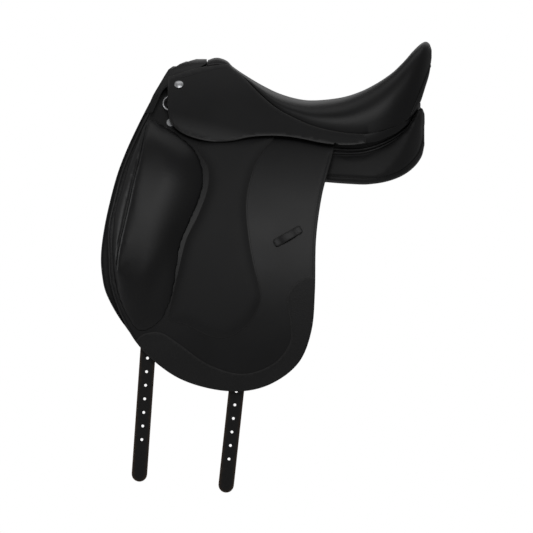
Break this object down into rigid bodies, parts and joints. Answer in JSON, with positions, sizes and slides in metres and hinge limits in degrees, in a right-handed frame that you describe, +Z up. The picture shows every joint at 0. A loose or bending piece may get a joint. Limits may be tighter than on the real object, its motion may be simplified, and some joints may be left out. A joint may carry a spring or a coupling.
{
  "type": "english saddle",
  "caption": "Dressage saddle with a deep seat, long straight flaps with knee blocks, lifting skirts, stirrup bars, girth billets and stuffed panels.",
  "frame": {"origin": "on the middle plane at the level of the lowest line of the rear panels, under the seat", "axes": "+Z up, +X towards the cantle (rear), +Y towards the off (right) side; the pommel is at -X and the near (left) side at -Y"},
  "size_m": [0.5952, 0.4774, 0.8119],
  "materials": {
    "smooth_leather": "smooth full-grain, semi-gloss",
    "soft_leather": "matt soft leather",
    "grained_leather": "fine pebbled grain",
    "billet_leather": "smooth with raw edges",
    "stuffed_panel": "leather skin over wool flock; mass as fabric",
    "stuffed_block": "leather skin over foam; mass as fabric",
    "foam": "open-cell foam",
    "webbing": "woven webbing",
    "beech": "laminated beech",
    "steel_plate": "plain steel",
    "bright_steel": "polished stainless"
  },
  "bodies": {
    "root": {"tree_head": "beech", "tree_rails": "beech", "head_plate": "steel_plate", "gullet_plate": "steel_plate", "rail_springs": "steel_plate", "cantle_plate": "steel_plate", "tree_rivets": "steel_plate", "seat_webbing": "webbing", "seat_foam": "foam", "seat_cover": "smooth_leather", "cantle_facing": "smooth_leather", "pommel_facing": "smooth_leather", "rear_band": "smooth_leather", "front_billet_webs": "webbing", "rear_billet_webs": "webbing", "catch_pins": "steel_plate", "saddle_nails": "bright_steel", "skirt_band_left": "smooth_leather", "sweat_flap_left": "soft_leather", "panel_left": "stuffed_panel", "point_pocket_left": "soft_leather", "stirrup_bar_left": "steel_plate", "skirt_band_right": "smooth_leather", "sweat_flap_right": "soft_leather", "panel_right": "stuffed_panel", "point_pocket_right": "soft_leather", "stirrup_bar_right": "steel_plate"},
    "left_flap": {"flap_left": "smooth_leather", "knee_block_left": "stuffed_block", "thigh_pad_left": "soft_leather", "flap_trim_left": "grained_leather", "keeper_left": "smooth_leather", "flap_stud_left": "bright_steel", "dee_tab_left": "smooth_leather"},
    "left_skirt": {"skirt_left": "smooth_leather"},
    "left_front_billet": {"front_billet_left": "billet_leather"},
    "left_rear_billet": {"rear_billet_left": "billet_leather"},
    "left_catch": {"bar_catch_left": "steel_plate"},
    "left_dee": {"dee_ring_left": "bright_steel"},
    "right_flap": {"flap_right": "smooth_leather", "knee_block_right": "stuffed_block", "thigh_pad_right": "soft_leather", "flap_trim_right": "grained_leather", "keeper_right": "smooth_leather", "flap_stud_right": "bright_steel", "dee_tab_right": "smooth_leather"},
    "right_skirt": {"skirt_right": "smooth_leather"},
    "right_front_billet": {"front_billet_right": "billet_leather"},
    "right_rear_billet": {"rear_billet_right": "billet_leather"},
    "right_catch": {"bar_catch_right": "steel_plate"},
    "right_dee": {"dee_ring_right": "bright_steel"}
  },
  "joints": [
    {"name": "left_flap_lift", "type": "hinge", "parent": "root", "child": "left_flap", "pos_m": [-0.243, -0.08236, 0.158], "axis": [-0.9438, 0.1772, 0.2789], "range_deg": [0, 60]},
    {"name": "left_skirt_lift", "type": "hinge", "parent": "left_flap", "child": "left_skirt", "pos_m": [-0.243, -0.08236, 0.158], "axis": [-0.9438, 0.1772, 0.2789], "range_deg": [0, 60]},
    {"name": "left_front_billet_swing", "type": "hinge", "parent": "root", "child": "left_front_billet", "pos_m": [-0.248, -0.12261, 0.058], "axis": [0, 1, 0], "range_deg": [-5, 5]},
    {"name": "left_rear_billet_swing", "type": "hinge", "parent": "root", "child": "left_rear_billet", "pos_m": [-0.067, -0.12261, 0.058], "axis": [0, 1, 0], "range_deg": [-5, 5]},
    {"name": "left_catch_turn", "type": "hinge", "parent": "root", "child": "left_catch", "pos_m": [-0.14356, -0.10357, 0.1064], "axis": [-0.0004, -0.8446, 0.5354], "range_deg": [0, 80]},
    {"name": "left_dee_swing", "type": "hinge", "parent": "left_flap", "child": "left_dee", "pos_m": [-0.236, -0.08882, 0.138], "axis": [0, 0.5705, 0.8213], "range_deg": [0, 45]},
    {"name": "right_flap_lift", "type": "hinge", "parent": "root", "child": "right_flap", "pos_m": [-0.243, 0.08236, 0.158], "axis": [0.9438, 0.1772, -0.2789], "range_deg": [0, 60]},
    {"name": "right_skirt_lift", "type": "hinge", "parent": "right_flap", "child": "right_skirt", "pos_m": [-0.243, 0.08236, 0.158], "axis": [0.9438, 0.1772, -0.2789], "range_deg": [0, 60]},
    {"name": "right_front_billet_swing", "type": "hinge", "parent": "root", "child": "right_front_billet", "pos_m": [-0.248, 0.12261, 0.058], "axis": [0, 1, 0], "range_deg": [-5, 5]},
    {"name": "right_rear_billet_swing", "type": "hinge", "parent": "root", "child": "right_rear_billet", "pos_m": [-0.067, 0.12261, 0.058], "axis": [0, 1, 0], "range_deg": [-5, 5]},
    {"name": "right_catch_turn", "type": "hinge", "parent": "root", "child": "right_catch", "pos_m": [-0.14356, 0.10357, 0.1064], "axis": [0.0004, -0.8446, -0.5354], "range_deg": [0, 80]},
    {"name": "right_dee_swing", "type": "hinge", "parent": "right_flap", "child": "right_dee", "pos_m": [-0.236, 0.08882, 0.138], "axis": [0, 0.5705, -0.8213], "range_deg": [0, 45]}
  ]
}
